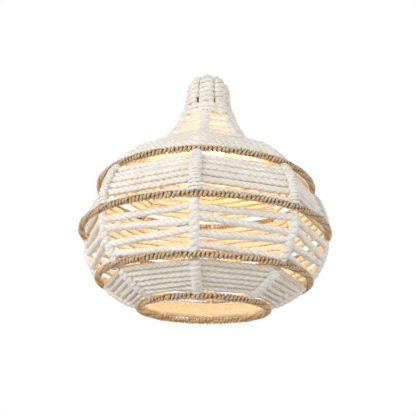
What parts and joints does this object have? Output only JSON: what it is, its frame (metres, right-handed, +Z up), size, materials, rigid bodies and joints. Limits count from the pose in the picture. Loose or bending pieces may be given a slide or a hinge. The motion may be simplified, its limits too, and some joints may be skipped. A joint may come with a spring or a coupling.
{
  "type": "pendant lantern",
  "caption": "Rope-woven pendant lantern with a gourd-shaped wire shade, twine-wrapped rings, a roped neck, a lampholder and a round lamp.",
  "frame": {"origin": "middle of the cord gland's top face, where the flex that carries the lantern goes in", "axes": "+Z up along the shade's axis; -Y towards the viewer"},
  "size_m": [0.4076, 0.4076, 0.4187],
  "materials": {
    "cotton_rope": "soft knitted cotton rope, off white, fuzzy",
    "jute_twine": "coiled natural jute twine, golden brown",
    "frame_steel": "cream powder coat",
    "holder_plastic": "satin white thermoplastic",
    "porcelain": "glazed white",
    "brass": "plain brass",
    "nickel": "nickel plated",
    "black_rubber": "black",
    "fibre": "pressed fibre",
    "black_glass": "black insulator",
    "aluminium": "bare board",
    "lamp_plastic": "white collar",
    "opal_globe": "opal diffuser, lit warm"
  },
  "bodies": {
    "lantern": {"ring_wire_bottom": "frame_steel", "ring_wire_lower": "frame_steel", "ring_wire_middle": "frame_steel", "ring_wire_upper": "frame_steel", "ring_wire_top": "frame_steel", "rib_wire_1": "frame_steel", "rib_wire_2": "frame_steel", "rib_wire_3": "frame_steel", "rib_wire_4": "frame_steel", "rib_wire_5": "frame_steel", "rib_wire_6": "frame_steel", "rib_wire_7": "frame_steel", "rib_wire_8": "frame_steel", "fitter_ring": "frame_steel", "jute_wrap_bottom": "jute_twine", "jute_wrap_lower": "jute_twine", "jute_wrap_middle": "jute_twine", "jute_wrap_upper": "jute_twine", "middle_lacing_1": "cotton_rope", "middle_lacing_2": "cotton_rope", "middle_lacing_3": "cotton_rope", "middle_lacing_4": "cotton_rope", "middle_lacing_5": "cotton_rope", "middle_lacing_6": "cotton_rope", "middle_lacing_7": "cotton_rope", "middle_lacing_8": "cotton_rope", "neck_wrap_1": "cotton_rope", "neck_wrap_2": "cotton_rope", "neck_wrap_3": "cotton_rope", "neck_wrap_4": "cotton_rope", "neck_wrap_5": "cotton_rope", "neck_wrap_6": "cotton_rope", "neck_wrap_7": "cotton_rope", "neck_wrap_8": "cotton_rope", "lower_rope_winding": "cotton_rope", "upper_rope_winding": "cotton_rope", "shoulder_rope_winding": "cotton_rope", "flare_rope_winding": "cotton_rope", "collar_rope": "cotton_rope", "holder_body": "holder_plastic", "holder_cap": "holder_plastic", "holder_insert": "porcelain", "holder_screw_shell": "brass", "holder_centre_contact": "brass", "terminal_screw_live": "brass", "terminal_screw_neutral": "brass", "cord_gland_body": "holder_plastic", "cord_gland_lock_nut": "nickel", "cord_gland_nut": "holder_plastic", "cord_gland_seal": "black_rubber"},
    "lock_washer": {"shade_clamp_washer": "fibre"},
    "lock_ring": {"shade_lock_ring": "holder_plastic"},
    "lamp": {"lamp_screw_cap": "nickel", "lamp_cap_insulator": "black_glass", "lamp_tip_contact": "brass", "lamp_collar": "lamp_plastic", "lamp_led_board": "aluminium", "lamp_globe": "opal_globe"}
  },
  "joints": [
    {"name": "lock_washer_travel", "type": "slide", "parent": "lantern", "child": "lock_washer", "axis": [0, 0, -1], "range_m": [0, 0.0195]},
    {"name": "lock_ring_turn", "type": "hinge", "parent": "lock_washer", "child": "lock_ring", "pos_m": [0, 0, -0.066], "axis": [0, 0, -1], "range_deg": [0, 2800]},
    {"name": "lamp_turn", "type": "hinge", "parent": "lantern", "child": "lamp", "pos_m": [0, 0, -0.078], "axis": [0, 0, -1], "range_deg": [0, 2230]}
  ],
  "couplings": [
    {"joint": "lock_washer_travel", "follows": "lock_ring_turn", "m_per_rad": 0.00039789}
  ]
}
